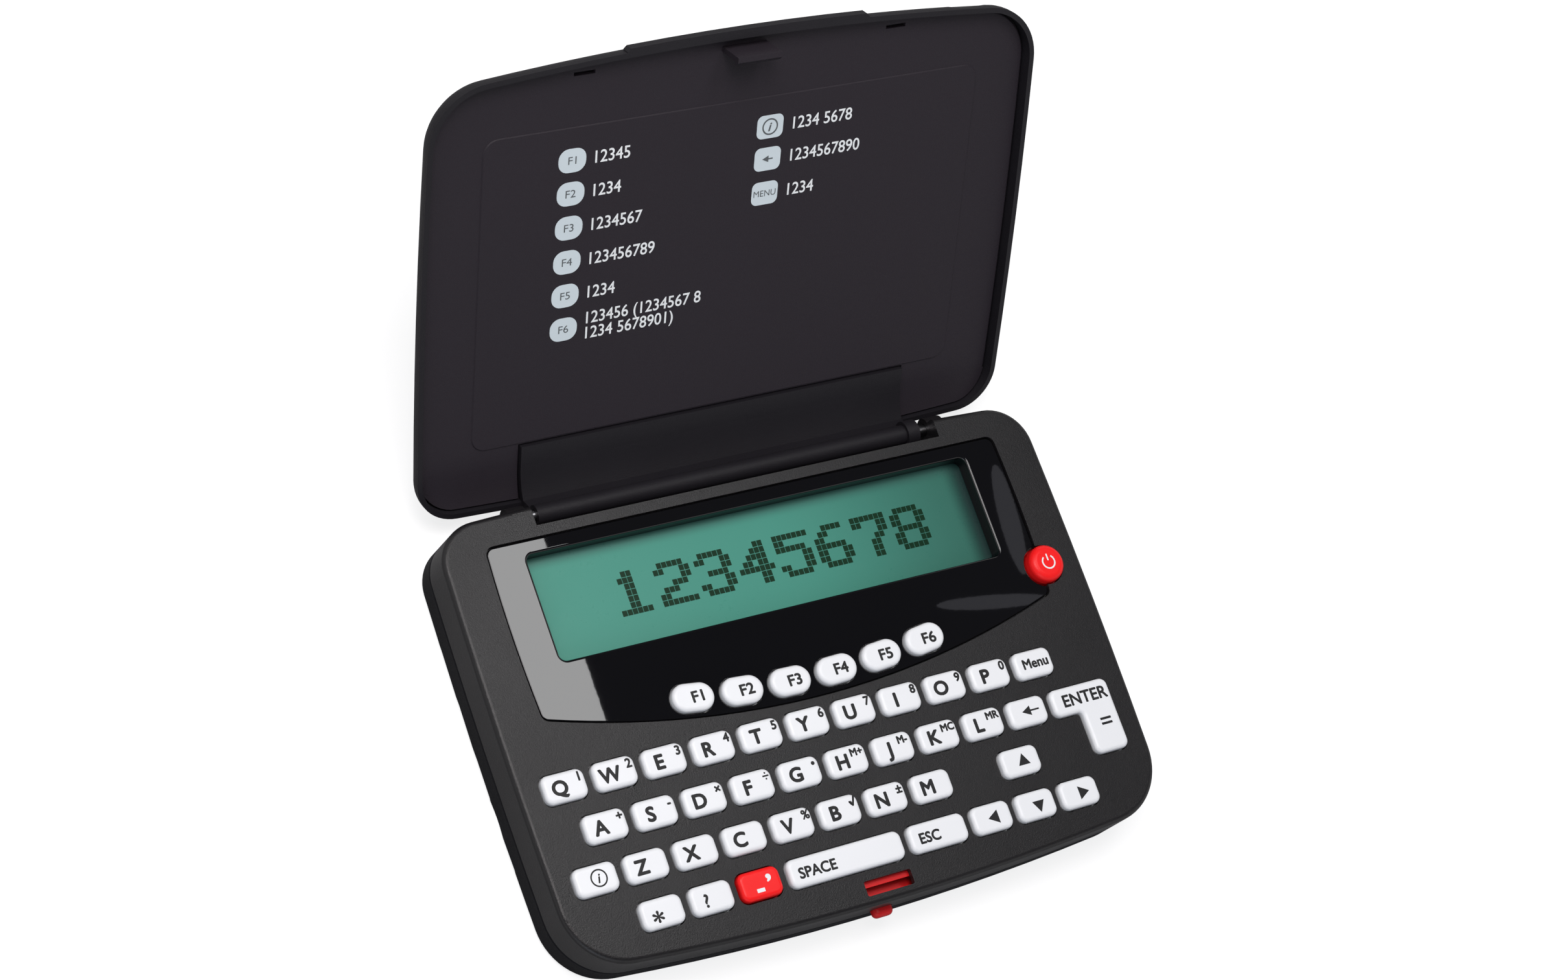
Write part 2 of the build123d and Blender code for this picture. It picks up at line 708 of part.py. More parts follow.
def key_mat():
    mat = prism(mat_plan(), BOARD_TOP, MAT_TOP)
    for x, y, under in dome_places():
        mat += dome_solid(x, y, under)
    return mat


def lcd_half_w():
    return WINDOW_W / 2 + LCD_OVER


def lcd_module():
    width = WINDOW_W + 2 * LCD_OVER
    depth = WINDOW_D + 2 * LCD_OVER
    low = BOARD_TOP
    mid = low + LCD_FRAME_T
    plan = Pos(0, WINDOW_Y) * Rectangle(width, depth)
    frame = prism(plan, low, mid)
    glass = prism(plan, mid, LCD_TOP)
    glass = chamfer(top_edges(glass), LCD_CHAMFER)
    return [frame, glass]


# Latch: a nub outside, a bed below the hook and a ledged riser behind it
def latch_riser_y():
    barb_back = HOOK_FRONT_Y + HOOK_T + HOOK_BARB
    return barb_back + LATCH_GAP


def hook_tip_z():
    return PANEL_Z - HOOK_REACH


def latch_slider():
    bed_high = hook_tip_z() - LATCH_ROOM
    riser_front = latch_riser_y()
    riser_back = riser_front + LATCH_RISER_T
    bed_front = FRONT_MID_Y + WALL + LATCH_FRONT_GAP
    slider = block(-LATCH_HALF_W, LATCH_HALF_W, bed_front, riser_back, LATCH_BED_Z, bed_high)
    under_skin = BODY_T - SLOT_SKIN - LATCH_ROOM
    slider += block(-LATCH_HALF_W, LATCH_HALF_W, riser_front, riser_back, LATCH_BED_Z, under_skin)
    ledge_low = hook_tip_z() + HOOK_BARB_T + LATCH_GAP
    slider += block(-LATCH_HALF_W, LATCH_HALF_W, riser_front - LATCH_LEDGE, riser_back, ledge_low, under_skin)
    nub = nub_bar(0, FRONT_MID_Y - NUB_OUT, bed_front)
    nub = fillet(nub.faces().sort_by(Axis.Y)[0].edges(), NUB_EDGE_R)
    slider += nub
    for side in (-1, 1):
        x0, x1 = sorted((side * LATCH_HALF_W, side * (LATCH_HALF_W + SPRING_LEG_L)))
        leg_y = riser_back - SPRING_LEG_T
        slider += block(x0, x1, leg_y, riser_back, LATCH_BED_Z, LATCH_BED_Z + SPRING_LEG_H)
    return slider


# Lid, built shut over the base
def lid_body():
    body = prism(LID_OUTLINE, RIM_Z, LID_TOP)
    return fillet(top_edges(body), LID_EDGE_R)


def thumb_strip():
    front_y = FRONT_MID_Y - LID_FRONT_OUT
    reach = block(-THUMB_HALF_W, THUMB_HALF_W, front_y - 2 * THUMB_OUT, front_y + THUMB_IN, RIM_Z, RIM_Z + THUMB_T)
    strip = prism(lid_inset(-THUMB_OUT), RIM_Z, RIM_Z + THUMB_T) & reach
    outer = strip.edges().filter_by(Axis.Z).group_by(Axis.Y)[0]
    strip = chamfer(outer, THUMB_OUT * 0.8)
    return strip - prism(lid_inset(LID_LIP), RIM_Z, RIM_Z + THUMB_T)


def knuckle_profile(low_z):
    face_z = PANEL_Z - KNUCKLE_PROUD
    web_front = HINGE_Y - WEB_T / 2
    web_back = HINGE_Y + WEB_T / 2
    bend_z = face_z - KNUCKLE_SWEEP
    top_z = LID_TOP - LID_WALL / 2
    start = (0, SWEEP_START_Y, face_z)
    bend = (0, web_front, bend_z)
    edges = [
        Line((0, KNUCKLE_FRONT_Y, top_z), (0, KNUCKLE_FRONT_Y, face_z)),
        Line((0, KNUCKLE_FRONT_Y, face_z), start),
        TangentArc(start, bend, tangent=(0, 1, 0)),
        Line(bend, (0, web_front, low_z)),
        Line((0, web_front, low_z), (0, web_back, low_z)),
        Line((0, web_back, low_z), (0, web_back, top_z)),
        Line((0, web_back, top_z), (0, KNUCKLE_FRONT_Y, top_z)),
    ]
    return edges


def knuckle():
    whole = along_x(knuckle_profile(HINGE_Z), KNUCKLE_HALF_W)
    upper = whole & lid_body()
    lower = whole & block(-KNUCKLE_HALF_W, KNUCKLE_HALF_W, NOTCH_FRONT_Y, BACK_MID_Y + 2, HINGE_Z, RIM_Z)
    piece = upper + lower
    piece += round_bar(BARREL_R, -KNUCKLE_HALF_W, KNUCKLE_HALF_W, HINGE_Y, HINGE_Z)
    piece += round_bar(EAR_R, KNUCKLE_HALF_W - EAR_W, KNUCKLE_HALF_W, HINGE_Y, HINGE_Z)
    return piece


def lid_outer():
    shell = lid_body()
    shell -= prism(lid_inset(LID_LIP), RIM_Z, PANEL_BACK)
    shell -= prism(lid_inset(LID_SHELF), PANEL_BACK, LID_TOP - LID_WALL)
    shell += thumb_strip()
    shell += knuckle()
    for side in (-1, 1):
        x0, x1 = sorted((side * (KNUCKLE_HALF_W - PIN_IN_LID), side * (KNUCKLE_HALF_W + 1)))
        shell -= round_bar(PIN_R - PIN_BITE, x0, x1, HINGE_Y, HINGE_Z)
    return shell


def panel_sweep():
    back_y = BACK_MID_Y - LID_LIP - PANEL_GAP
    start = (0, SWEEP_START_Y, PANEL_Z)
    end = (0, back_y, PANEL_Z - SWEEP_DROP)
    edges = [
        TangentArc(start, end, tangent=(0, 1, 0)),
        Line(end, (0, back_y, PANEL_BACK)),
        Line((0, back_y, PANEL_BACK), (0, SWEEP_START_Y, PANEL_BACK)),
        Line((0, SWEEP_START_Y, PANEL_BACK), start),
    ]
    sweep = along_x(edges, SIDE_HALF_MID)
    return sweep & prism(lid_inset(LID_LIP + PANEL_GAP), PANEL_Z - SWEEP_DROP, PANEL_BACK)


def hook():
    y0 = HOOK_FRONT_Y
    y1 = y0 + HOOK_T
    y2 = y1 + HOOK_BARB
    tip = hook_tip_z()
    barb_top = tip + HOOK_BARB_T
    outline = Polyline([
        (0, y0, PANEL_Z + PANEL_T / 2), (0, y0, tip), (0, y1, tip), (0, y2, tip + HOOK_BARB),
        (0, y2, barb_top), (0, y1, barb_top), (0, y1, PANEL_Z + PANEL_T / 2),
    ], close=True)
    return extrude(Face(Wire(outline.edges())), HOOK_HALF_W, dir=(1, 0, 0), both=True)


def lid_inner():
    panel = prism(lid_inset(LID_LIP + PANEL_GAP), PANEL_Z, PANEL_BACK)
    panel = fillet(bottom_edges(panel), PANEL_EDGE_R)
    panel += panel_sweep()
    mid = (PLATEAU_FRONT_Y + PLATEAU_BACK_Y) / 2
    depth = PLATEAU_BACK_Y - PLATEAU_FRONT_Y
    plateau = prism(Pos(0, mid) * RectangleRounded(PLATEAU_W, depth, PLATEAU_R),
                    PANEL_Z - PLATEAU_T, PANEL_Z + PANEL_T / 2)
    panel += chamfer(bottom_edges(plateau), PLATEAU_T * 0.9)
    cut_x = KNUCKLE_HALF_W + KNUCKLE_SLIT
    panel -= block(-cut_x, cut_x, KNUCKLE_FRONT_Y - KNUCKLE_SLIT, BACK_MID_Y + 1, RIM_Z - 1, LID_TOP)
    panel += hook()
    for side in (-1, 1):
        x = side * SNAP_X
        bow_y = FRONT_MID_Y - LID_FRONT_OUT + SNAP_X ** 2 / (2 * front_bow_radius())
        edge_y = bow_y + LID_LIP + PANEL_GAP
        y0 = edge_y + SNAP_IN
        panel -= block(x - SNAP_W / 2, x + SNAP_W / 2, y0, y0 + SNAP_D, PANEL_Z - 1, PANEL_BACK)
    return panel


def front_bow_radius():
    sag = FRONT_END_Y - FRONT_MID_Y
    return (SIDE_HALF_END ** 2 + sag ** 2) / (2 * sag)


def hinge_pins():
    pins = []
    for side in (-1, 1):
        inner = side * (KNUCKLE_HALF_W - PIN_IN_LID)
        outer = side * (NOTCH_HALF_W + PIN_IN_BASE)
        x0, x1 = sorted((inner, outer))
        pins.append(round_bar(PIN_R, x0, x1, HINGE_Y, HINGE_Z))
    return pins


HINGE_AXIS = Axis((0, HINGE_Y, HINGE_Z), (1, 0, 0))


def opened(shape):
    return shape.rotate(HINGE_AXIS, -OPEN_DEG)


def save(name, shape):
    if isinstance(shape, list):
        shape = Compound(children=[s.solid() for s in shape])
    export_step(shape, "parts/%s.step" % name)


save("upper_case", upper_case())
save("lower_case", lower_case())
save("display_bezel", bezel_solid())
save("lcd_module", lcd_module())
save("circuit_board", circuit_board())
save("key_mat", key_mat())
save("battery_door", battery_door())
save("battery_cells", battery_cells())
save("battery_contacts", battery_contacts())
save("case_screws", case_screws())
save("latch_slider", latch_slider())
save("lid_outer", opened(lid_outer()))
save("lid_inner", opened(lid_inner()))
save("hinge_pins", [opened(pin) for pin in hinge_pins()])
for key_name, key_plan, key_under, key_rise in KEYS:
    save(key_name, key_solid(key_plan, key_under, key_rise, CAP_EDGE_R))
save("power_button", key_solid(POWER_PLAN, BEZEL_UNDER, POWER_RISE, POWER_DOME_R))
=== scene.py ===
import json
import math
import bmesh
import bpy
from mathutils import Matrix, Vector


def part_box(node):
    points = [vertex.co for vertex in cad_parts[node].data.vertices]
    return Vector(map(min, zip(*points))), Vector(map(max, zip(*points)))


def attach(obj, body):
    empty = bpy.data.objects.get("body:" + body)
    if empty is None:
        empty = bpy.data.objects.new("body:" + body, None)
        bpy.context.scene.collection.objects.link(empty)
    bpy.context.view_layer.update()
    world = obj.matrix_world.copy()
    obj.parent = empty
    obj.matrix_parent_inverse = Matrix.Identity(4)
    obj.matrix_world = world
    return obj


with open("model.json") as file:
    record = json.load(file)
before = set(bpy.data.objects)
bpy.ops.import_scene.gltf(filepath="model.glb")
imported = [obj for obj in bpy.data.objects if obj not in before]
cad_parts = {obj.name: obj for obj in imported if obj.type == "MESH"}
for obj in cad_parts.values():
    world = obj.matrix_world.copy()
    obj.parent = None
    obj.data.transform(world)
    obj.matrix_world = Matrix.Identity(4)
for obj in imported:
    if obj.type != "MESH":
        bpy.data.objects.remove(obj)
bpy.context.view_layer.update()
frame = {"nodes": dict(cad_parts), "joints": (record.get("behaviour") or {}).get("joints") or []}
mm = 0.001
capHeight = 0.682
printRise = 0.03
scene = bpy.context.scene
scene.view_settings.view_transform = "Standard"
hinge = [joint for joint in frame["joints"] if joint["name"] == "lid_hinge"][0]
hingePoint = Vector(hinge["pos_m"])
lidOpening = math.radians(hinge["range_deg"][1])
closedToRest = (Matrix.Translation(hingePoint) @ Matrix.Rotation(-lidOpening, 4, "X")
                @ Matrix.Translation(-hingePoint))

# camera, at the photograph's angle
cameraSettings = {
    "lens": 78.5, "frameWidth": 36, "near": 0.01, "far": 20,
    "place": (-0.298697, -0.110214, 0.557636),
    "right": (0.857737, -0.331637, 0.392817),
    "down": (-0.192136, -0.915529, -0.353399),
    "forward": (0.476835, 0.227649, -0.849002),
}


def addCamera(settings):
    data = bpy.data.cameras.new("photoCamera")
    data.lens = settings["lens"]
    data.sensor_width = settings["frameWidth"]
    data.sensor_fit = "HORIZONTAL"
    data.clip_start = settings["near"]
    data.clip_end = settings["far"]
    camera = bpy.data.objects.new("photoCamera", data)
    scene.collection.objects.link(camera)
    right = Vector(settings["right"])
    up = -Vector(settings["down"])
    back = -Vector(settings["forward"])
    turn = Matrix((right, up, back)).transposed().to_4x4()
    camera.matrix_world = Matrix.Translation(settings["place"]) @ turn
    scene.camera = camera


addCamera(cameraSettings)
print("stage: camera")


# shader helpers
def addNode(tree, kind, **values):
    node = tree.nodes.new(kind)
    for name, value in values.items():
        if hasattr(node, name):
            setattr(node, name, value)
        else:
            node.inputs[name.replace("_", " ")].default_value = value
    return node


def newGroup(name, inputs, outputs):
    group = bpy.data.node_groups.new(name, "ShaderNodeTree")
    for label, kind, value in inputs:
        socket = group.interface.new_socket(label, in_out="INPUT", socket_type=kind)
        socket.default_value = value
    for label, kind in outputs:
        group.interface.new_socket(label, in_out="OUTPUT", socket_type=kind)
    return group


# noise values mostly lie within this span, which is spread over the roughness
noiseSpan = (0.35, 0.65)
streakStretch = (0.05, 1, 1)


# moulded plastic: fine grain, slow patches of tint and of roughness
def mouldedGrainGroup():
    group = newGroup("mouldedGrain", [
        ("Colour", "NodeSocketColor", (0.5, 0.5, 0.5, 1)),
        ("Tint", "NodeSocketColor", (0.5, 0.5, 0.5, 1)),
        ("Grain", "NodeSocketFloat", 3000.0),
        ("Patches", "NodeSocketFloat", 40.0),
        ("Rough low", "NodeSocketFloat", 0.4),
        ("Rough high", "NodeSocketFloat", 0.6),
    ], [("Colour", "NodeSocketColor"), ("Roughness", "NodeSocketFloat"), ("Height", "NodeSocketFloat")])
    link = group.links.new
    given = addNode(group, "NodeGroupInput")
    result = addNode(group, "NodeGroupOutput")
    coords = addNode(group, "ShaderNodeTexCoord")
    grain = addNode(group, "ShaderNodeTexNoise", Detail=3.0, Roughness=0.6)
    patches = addNode(group, "ShaderNodeTexNoise", Detail=4.0, Roughness=0.55)
    link(coords.outputs["Object"], grain.inputs["Vector"])
    link(coords.outputs["Object"], patches.inputs["Vector"])
    link(given.outputs["Grain"], grain.inputs["Scale"])
    link(given.outputs["Patches"], patches.inputs["Scale"])
    mix = addNode(group, "ShaderNodeMix", data_type="RGBA")
    link(patches.outputs["Fac"], mix.inputs["Factor"])
    link(given.outputs["Colour"], mix.inputs["A"])
    link(given.outputs["Tint"], mix.inputs["B"])
    rough = addNode(group, "ShaderNodeMapRange")
    blend = addNode(group, "ShaderNodeMath", operation="MULTIPLY_ADD")
    half = addNode(group, "ShaderNodeMath", operation="MULTIPLY")
    for part in (blend, half):
        part.inputs[1].default_value = 0.5
    link(grain.outputs["Fac"], half.inputs[0])
    link(patches.outputs["Fac"], blend.inputs[0])
    link(half.outputs[0], blend.inputs[2])
    link(blend.outputs[0], rough.inputs["Value"])
    link(given.outputs["Rough low"], rough.inputs["To Min"])
    link(given.outputs["Rough high"], rough.inputs["To Max"])
    rough.inputs["From Min"].default_value = noiseSpan[0]
    rough.inputs["From Max"].default_value = noiseSpan[1]
    link(mix.outputs["Result"], result.inputs["Colour"])
    link(rough.outputs["Result"], result.inputs["Roughness"])
    link(grain.outputs["Fac"], result.inputs["Height"])
    return group


# brushed or turned metal: streaks along X and darker worn patches
def brushedMetalGroup():
    group = newGroup("brushedMetal", [
        ("Colour", "NodeSocketColor", (0.5, 0.5, 0.5, 1)),
        ("Tint", "NodeSocketColor", (0.3, 0.3, 0.3, 1)),
        ("Streaks", "NodeSocketFloat", 900.0),
        ("Rough low", "NodeSocketFloat", 0.2),
        ("Rough high", "NodeSocketFloat", 0.4),
    ], [("Colour", "NodeSocketColor"), ("Roughness", "NodeSocketFloat"), ("Height", "NodeSocketFloat")])
    link = group.links.new
    given = addNode(group, "NodeGroupInput")
    result = addNode(group, "NodeGroupOutput")
    coords = addNode(group, "ShaderNodeTexCoord")
    stretch = addNode(group, "ShaderNodeMapping")
    stretch.inputs["Scale"].default_value = streakStretch
    streaks = addNode(group, "ShaderNodeTexNoise", Detail=4.0, Roughness=0.6)
    link(coords.outputs["Object"], stretch.inputs["Vector"])
    link(stretch.outputs["Vector"], streaks.inputs["Vector"])
    link(given.outputs["Streaks"], streaks.inputs["Scale"])
    mix = addNode(group, "ShaderNodeMix", data_type="RGBA")
    link(streaks.outputs["Fac"], mix.inputs["Factor"])
    link(given.outputs["Colour"], mix.inputs["A"])
    link(given.outputs["Tint"], mix.inputs["B"])
    rough = addNode(group, "ShaderNodeMapRange")
    link(streaks.outputs["Fac"], rough.inputs["Value"])
    link(given.outputs["Rough low"], rough.inputs["To Min"])
    link(given.outputs["Rough high"], rough.inputs["To Max"])
    link(mix.outputs["Result"], result.inputs["Colour"])
    link(rough.outputs["Result"], result.inputs["Roughness"])
    link(streaks.outputs["Fac"], result.inputs["Height"])
    return group


grainGroup = mouldedGrainGroup()
metalGroup = brushedMetalGroup()


def newFinish(name):
    material = bpy.data.materials.new(name)
    material.use_nodes = True
    tree = material.node_tree
    shader = [node for node in tree.nodes if node.type == "BSDF_PRINCIPLED"][0]
    return material, tree, shader


def placeGroup(tree, shader, group, settings, bumpDistance):
    block = addNode(tree, "ShaderNodeGroup")
    block.node_tree = group
    for label, value in settings.items():
        block.inputs[label].default_value = value
    tree.links.new(block.outputs["Colour"], shader.inputs["Base Color"])
    tree.links.new(block.outputs["Roughness"], shader.inputs["Roughness"])
    bump = addNode(tree, "ShaderNodeBump", Strength=1.0, Distance=bumpDistance)
    tree.links.new(block.outputs["Height"], bump.inputs["Height"])
    tree.links.new(bump.outputs["Normal"], shader.inputs["Normal"])
    return block


def plasticFinish(name, colour, tint, rough, grain, bump, level, patches=45.0):
    material, tree, shader = newFinish(name)
    placeGroup(tree, shader, grainGroup, {
        "Colour": (*colour, 1), "Tint": (*tint, 1), "Grain": grain, "Patches": patches,
        "Rough low": rough[0], "Rough high": rough[1],
    }, bump)
    shader.inputs["Specular IOR Level"].default_value = level
    return material


def metalFinish(name, colour, tint, rough, streaks=900.0, bump=0.000004):
    material, tree, shader = newFinish(name)
    placeGroup(tree, shader, metalGroup, {
        "Colour": (*colour, 1), "Tint": (*tint, 1), "Streaks": streaks,
        "Rough low": rough[0], "Rough high": rough[1],
    }, bump)
    shader.inputs["Metallic"].default_value = 1.0
    return material


# the display: a green with painted shade to the right and painted shadow at its right end and under the
# frame's top edge
def displayFinish(name, settings):
    material, tree, shader = newFinish(name)
    link = tree.links.new
    block = placeGroup(tree, shader, grainGroup, {
        "Colour": (*settings["light"], 1), "Tint": (*settings["mid"], 1), "Grain": settings["grain"],
        "Patches": settings["patches"], "Rough low": settings["rough"][0],
        "Rough high": settings["rough"][1],
    }, settings["bump"])
    coords = addNode(tree, "ShaderNodeTexCoord")
    split = addNode(tree, "ShaderNodeSeparateXYZ")
    link(coords.outputs["Object"], split.inputs["Vector"])
    colour = block.outputs["Colour"]
    # each pass lays painted shade or painted shadow over the display's colour
    for axis, shadeSpan, shadeTone in (("X", "rightShadeX", "right"), ("Y", "topShadowY", "top"), ("X", "endShadowX", "endShadow")):
        ramp = addNode(tree, "ShaderNodeMapRange", interpolation_type="SMOOTHSTEP")
        ramp.inputs["From Min"].default_value = settings[shadeSpan][0]
        ramp.inputs["From Max"].default_value = settings[shadeSpan][1]
        link(split.outputs[axis], ramp.inputs["Value"])
        mix = addNode(tree, "ShaderNodeMix", data_type="RGBA")
        mix.inputs["B"].default_value = (*settings[shadeTone], 1)
        link(ramp.outputs["Result"], mix.inputs["Factor"])
        link(colour, mix.inputs["A"])
        colour = mix.outputs["Result"]
    link(colour, shader.inputs["Base Color"])
    shader.inputs["Specular IOR Level"].default_value = settings["level"]
    return material


plastics = {
    "caseTop": {"colour": (0.0068, 0.0062, 0.0070), "tint": (0.0090, 0.0082, 0.0092),
                "rough": (0.33, 0.43), "grain": 4200.0, "bump": 0.000045, "level": 0.42},
    "caseBottom": {"colour": (0.0060, 0.0060, 0.0075), "tint": (0.0080, 0.0080, 0.0098),
                   "rough": (0.44, 0.58), "grain": 4200.0, "bump": 0.000045, "level": 0.1},
    "lidShell": {"colour": (0.0095, 0.0085, 0.0110), "tint": (0.0120, 0.0108, 0.0137),
                 "rough": (0.48, 0.57), "grain": 4200.0, "bump": 0.000045, "level": 0.24},
    "lidLining": {"colour": (0.0160, 0.0125, 0.0172), "tint": (0.0205, 0.0162, 0.0215),
                  "rough": (0.50, 0.66), "grain": 3600.0, "bump": 0.00005, "level": 0.24},
    "surround": {"colour": (0.0022, 0.0022, 0.0030), "tint": (0.0032, 0.0032, 0.0040),
                 "rough": (0.010, 0.016), "grain": 700.0, "patches": 25.0, "bump": 0.0000002, "level": 0.5},
    "whiteKey": {"colour": (0.76, 0.772, 0.788), "tint": (0.71, 0.722, 0.738),
                 "rough": (0.30, 0.42), "grain": 2400.0, "bump": 0.000006, "level": 0.5},
    "redKey": {"colour": (0.86, 0.012, 0.012), "tint": (0.80, 0.009, 0.010),
               "rough": (0.26, 0.38), "grain": 2400.0, "bump": 0.000006, "level": 0.25},
    "redLatch": {"colour": (0.64, 0.009, 0.011), "tint": (0.54, 0.006, 0.008),
                 "rough": (0.32, 0.46), "grain": 2400.0, "bump": 0.000012, "level": 0.3},
    "keyMat": {"colour": (0.30, 0.30, 0.31), "tint": (0.24, 0.24, 0.25),
               "rough": (0.60, 0.80), "grain": 1800.0, "bump": 0.00003, "level": 0.3},
    "board": {"colour": (0.010, 0.09, 0.030), "tint": (0.016, 0.13, 0.045),
              "rough": (0.25, 0.45), "grain": 1200.0, "patches": 160.0, "bump": 0.000012, "level": 0.5},
    "darkInk": {"colour": (0.006, 0.006, 0.007), "tint": (0.010, 0.010, 0.011),
                "rough": (0.45, 0.60), "grain": 2600.0, "bump": 0.000003, "level": 0.4},
    "whiteInk": {"colour": (0.78, 0.80, 0.80), "tint": (0.70, 0.72, 0.73),
                 "rough": (0.50, 0.65), "grain": 2600.0, "bump": 0.000008, "level": 0.4},
    "pillInk": {"colour": (0.60, 0.67, 0.70), "tint": (0.52, 0.59, 0.62),
                "rough": (0.50, 0.65), "grain": 2600.0, "bump": 0.000008, "level": 0.4},
    "greyInk": {"colour": (0.07, 0.08, 0.085), "tint": (0.10, 0.11, 0.115),
                "rough": (0.50, 0.65), "grain": 2600.0, "bump": 0.000003, "level": 0.4},
    "displayInk": {"colour": (0.004, 0.022, 0.010), "tint": (0.007, 0.032, 0.015),
                   "rough": (0.28, 0.40), "grain": 2600.0, "bump": 0.000002, "level": 0.1},
}
metals = {
    "steel": {"colour": (0.62, 0.62, 0.61), "tint": (0.45, 0.45, 0.44), "rough": (0.20, 0.36)},
    "pinSteel": {"colour": (0.30, 0.30, 0.31), "tint": (0.20, 0.20, 0.21), "rough": (0.18, 0.34),
                 "streaks": 1400.0},
    "screwSteel": {"colour": (0.25, 0.25, 0.26), "tint": (0.15, 0.15, 0.16), "rough": (0.25, 0.45)},
    "contactBrass": {"colour": (0.65, 0.58, 0.40), "tint": (0.50, 0.44, 0.30), "rough": (0.22, 0.40)},
}
# the darker tones here are painted shade over the display's green: darker to the right, and painted shadow
# at its right end and under the frame's top edge
displayGlass = {
    "light": (0.054, 0.250, 0.190), "mid": (0.058, 0.236, 0.180), "right": (0.034, 0.128, 0.098),
    "top": (0.032, 0.085, 0.072), "endShadow": (0.010, 0.028, 0.026),
    "rightShadeX": (0.0, 0.050), "topShadowY": (0.0318, 0.0350), "endShadowX": (0.0425, 0.0470),
    "grain": 900.0, "patches": 30.0, "rough": (0.25, 0.35), "bump": 0.000001, "level": 0.15,
}
finishes = {"display": displayFinish("display", displayGlass)}
for finishName, finishSettings in plastics.items():
    finishes[finishName] = plasticFinish(finishName, **finishSettings)
for finishName, finishSettings in metals.items():
    finishes[finishName] = metalFinish(finishName, **finishSettings)
nodeFinishes = {
    "upper_case": "caseTop", "lower_case": "caseBottom", "battery_door": "caseBottom",
    "display_bezel": "surround", "lcd_module": "display", "circuit_board": "board", "key_mat": "keyMat",
    "battery_cells": "steel", "battery_contacts": "contactBrass", "case_screws": "screwSteel",
    "lid_outer": "lidShell", "lid_inner": "lidLining", "hinge_pins": "pinSteel", "latch_slider": "redLatch",
    "power_button": "redKey", "key_hyphen": "redKey",
}


def dressNodes():
    for name, node in frame["nodes"].items():
        finish = finishes[nodeFinishes.get(name, "whiteKey")]
        for slot in node.material_slots:
            slot.material = finish


dressNodes()
print("stage: finishes")


# print and legends: flat shapes gathered into one mesh; copies set round a stroke make it bolder
glyphSteps = 4
boldCopies = 8
boldStep = 0.0008


def addGlyphs(bm, text, height, centre, bold=0.0, squeeze=1.0, align="CENTER", rise=printRise, lean=0.0):
    curve = bpy.data.curves.new("glyphs", "FONT")
    curve.body = text
    curve.size = height / capHeight
    curve.shear = lean
    curve.extrude = rise / 2
    curve.resolution_u = glyphSteps
    holder = bpy.data.objects.new("glyphs", curve)
    scene.collection.objects.link(holder)
    bpy.context.view_layer.update()
    mesh = bpy.data.meshes.new_from_object(holder.evaluated_get(bpy.context.evaluated_depsgraph_get()))
    xs = [vertex.co.x for vertex in mesh.vertices]
    start = {"CENTER": (min(xs) + max(xs)) / 2, "LEFT": min(xs)}[align]
    mesh.transform(Matrix.Translation((-start, -height / 2, rise / 2)))
    mesh.transform(Matrix.Diagonal((squeeze, 1, 1, 1)))
    mesh.transform(Matrix.Translation((centre[0], centre[1], 0)))
    bm.from_mesh(mesh)
    for k in range(boldCopies if bold else 0):
        angle = 2 * math.pi * k / boldCopies
        step = Vector((bold * math.cos(angle), bold * math.sin(angle), -boldStep * (k + 1)))
        copy = mesh.copy()
        copy.transform(Matrix.Translation(step))
        bm.from_mesh(copy)
        bpy.data.meshes.remove(copy)
    bpy.data.objects.remove(holder)
    bpy.data.curves.remove(curve)
    bpy.data.meshes.remove(mesh)


def addPlate(bm, outline):
    bottom = [bm.verts.new((x, y, 0)) for x, y in outline]
    top = [bm.verts.new((x, y, printRise)) for x, y in outline]
    count = len(outline)
    for i in range(count):
        j = (i + 1) % count
        bm.faces.new((bottom[i], bottom[j], top[j], top[i]))
    bm.faces.new(top)
    bm.faces.new(list(reversed(bottom)))


def addRing(bm, centre, radius, width, start=0.0, sweep=2 * math.pi, steps=40):
    closed = abs(sweep - 2 * math.pi) < 1e-6
    count = steps if closed else steps + 1
    inner = radius - width / 2
    outer = radius + width / 2
    loops = []
    for i in range(count):
        c = math.cos(start + sweep * i / steps)
        s = math.sin(start + sweep * i / steps)
        wall = []
        for r, z in ((inner, 0), (outer, 0), (outer, printRise), (inner, printRise)):
            wall.append(bm.verts.new((centre[0] + r * c, centre[1] + r * s, z)))
        loops.append(wall)
    for i in range(count if closed else count - 1):
        a = loops[i]
        b = loops[(i + 1) % count]
        for k in range(4):
            m = (k + 1) % 4
            bm.faces.new((a[k], a[m], b[m], b[k]))
    if not closed:
        bm.faces.new(list(reversed(loops[0])))
        bm.faces.new(loops[-1])


def rectangle(x, y, width, depth):
    return [(x + i * width / 2, y + j * depth / 2) for i, j in ((-1, -1), (1, -1), (1, 1), (-1, 1))]


def triangle(x, y, size, heading):
    points = []
    for k in range(3):
        angle = math.radians(heading + 120 * k)
        points.append((x + size * math.cos(angle), y + size * math.sin(angle)))
    return points


def addBackArrow(bm, x, y, length, head, shaft):
    left = x - length / 2
    addPlate(bm, [(left, y), (left + head, y - head / 2), (left + head, y + head / 2)])
    addPlate(bm, rectangle(x + head / 2, y, length - head, shaft))


infoSign = {"ring": 0.19, "letter": 1.1, "drop": 0.02, "bold": 0.06, "lean": 0.25}


# the ring, the letter and its drop are shares of the sign's radius
def addInfoSign(bm, x, y, radius):
    s = infoSign
    addRing(bm, (x, y), radius, radius * s["ring"])
    place = (x, y - radius * s["drop"])
    addGlyphs(bm, "i", radius * s["letter"], place, bold=s["bold"], lean=s["lean"])


def toMesh(bm, name, place):
    bmesh.ops.recalc_face_normals(bm, faces=bm.faces)
    mesh = bpy.data.meshes.new(name)
    bm.to_mesh(mesh)
    bm.free()
    mesh.transform(place @ Matrix.Scale(mm, 4))
    return mesh


